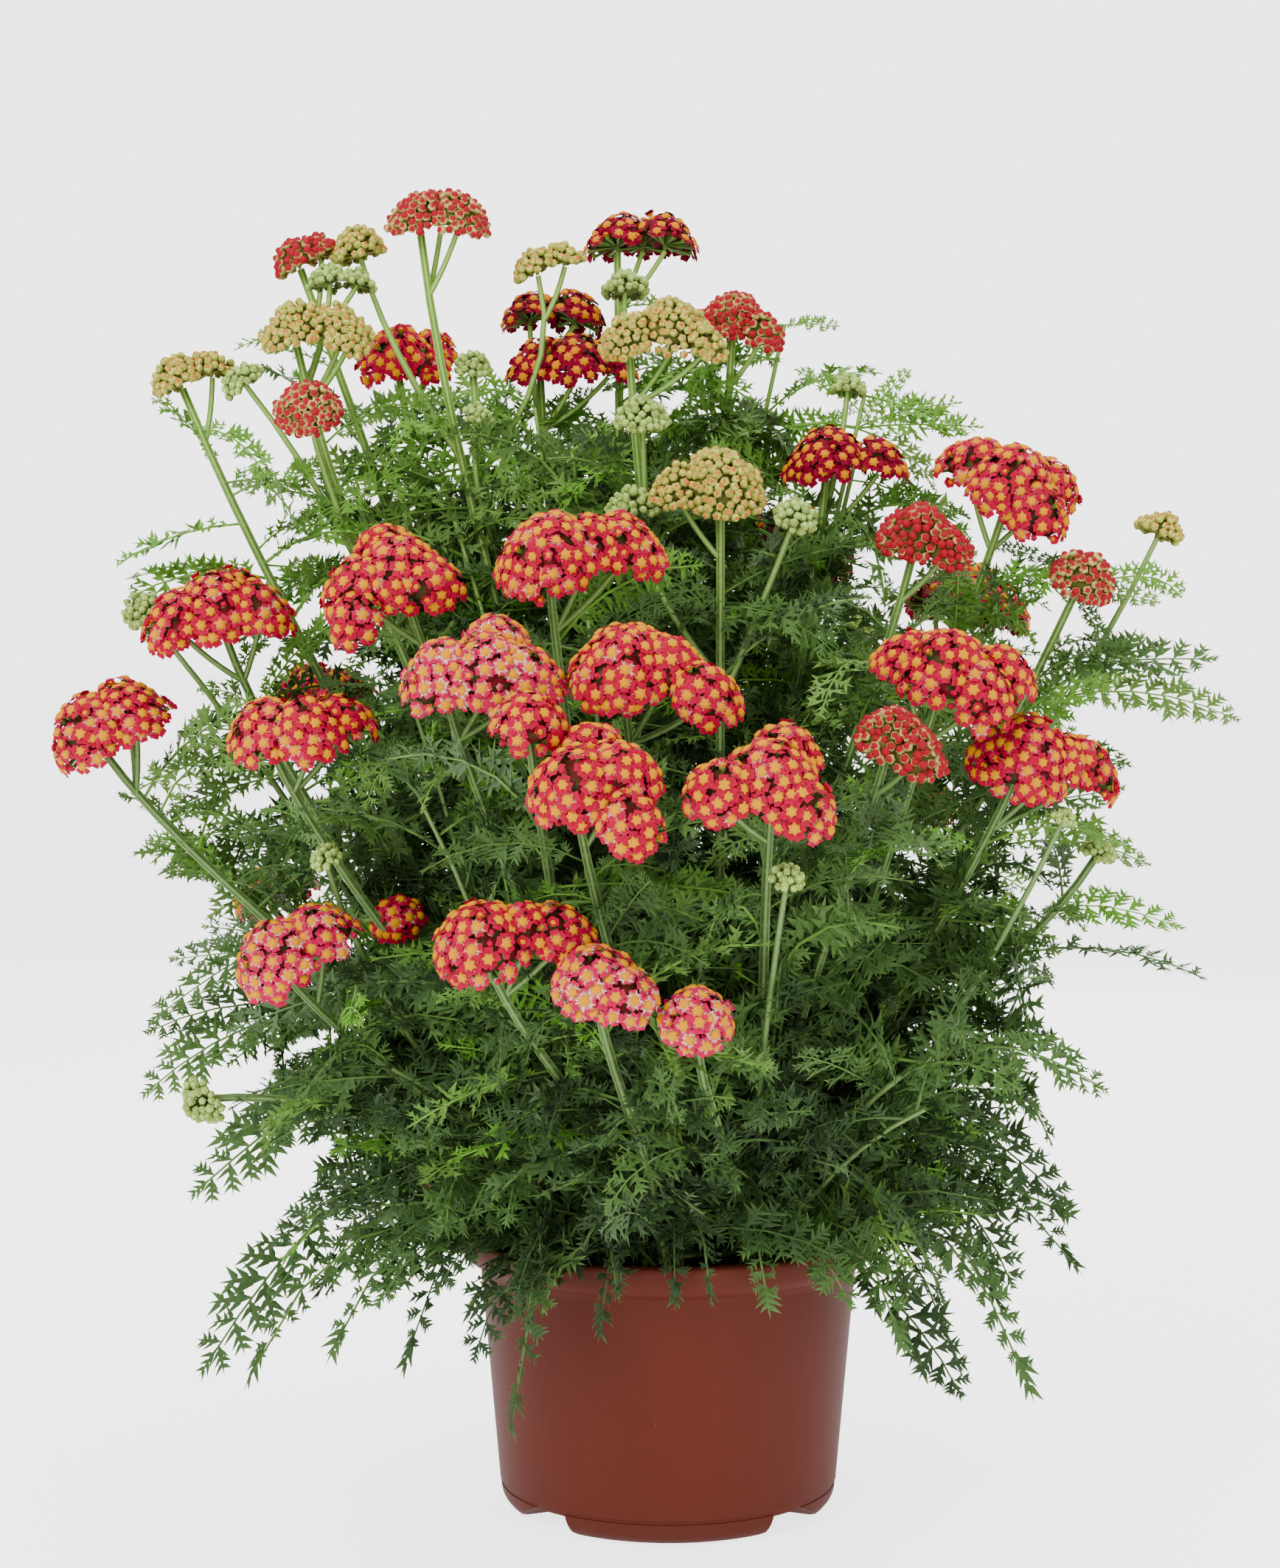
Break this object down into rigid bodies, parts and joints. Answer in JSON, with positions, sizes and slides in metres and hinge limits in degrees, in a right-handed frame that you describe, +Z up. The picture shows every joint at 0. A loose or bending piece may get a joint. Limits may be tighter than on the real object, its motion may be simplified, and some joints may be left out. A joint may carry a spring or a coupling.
{
  "type": "potted yarrow plant",
  "caption": "Bushy garden yarrow with feathery leaves and domed heads of red and yellow florets, growing in a round tapered plastic pot that stands on four feet.",
  "frame": {"origin": "middle of the pot's underside, on the plane of its feet", "axes": "+Z up along the pot's axis, -Y towards the front of the plant, +X to the right as seen from the front"},
  "size_m": [0.5283, 0.4216, 0.6037],
  "materials": {
    "pot": "satin terracotta-brown moulded plastic with soft highlights",
    "soil": "moist dark peat with crumbs, fibres and a little moss",
    "leaf": "matt mid to dark green leaves with pale ribs and soft hairs, on pale ribbed stems",
    "open": "matt crimson petals streaked with pink round orange-yellow discs",
    "dark": "matt dark red petals round orange discs",
    "bud": "matt yellow-green buds with red tips",
    "young": "matt pale yellow-green buds"
  },
  "bodies": {
    "root": {"pot": "pot", "soil": "soil", "bud_head_1": "bud", "bud_head_2": "bud", "bud_head_3": "bud", "bud_head_4": "bud", "bud_head_5": "bud", "bud_head_6": "bud", "bud_head_7": "bud", "bud_head_8": "bud", "young_head_1": "young", "young_head_2": "young", "young_head_3": "young", "young_head_4": "young", "young_head_5": "young", "young_head_6": "young", "young_head_7": "young", "open_head_1": "open", "open_head_2": "open", "open_head_3": "open", "open_head_4": "open", "open_head_5": "open", "open_head_6": "open", "open_head_7": "open", "open_head_8": "open", "open_head_9": "open", "open_head_10": "open", "open_head_11": "open", "open_head_12": "open", "open_head_13": "open", "open_head_14": "open", "open_head_15": "open", "open_head_16": "open", "open_head_17": "open", "open_head_18": "open", "open_head_19": "open", "open_head_20": "open", "open_head_21": "open", "open_head_22": "open", "open_head_23": "open", "open_head_24": "open", "open_head_25": "open", "open_head_26": "open", "dark_head_1": "dark", "dark_head_2": "dark", "dark_head_3": "dark", "dark_head_4": "dark", "clump_front": "leaf", "clump_frontRight": "leaf", "clump_right": "leaf", "clump_rightBack": "leaf", "clump_backRight": "leaf", "clump_back": "leaf", "clump_backLeft": "leaf", "clump_left": "leaf", "clump_frontLeft": "leaf", "clump_innerFrontLeft": "leaf", "clump_innerFrontRight": "leaf", "clump_innerBackRight": "leaf", "clump_innerBackLeft": "leaf"}
  },
  "joints": []
}
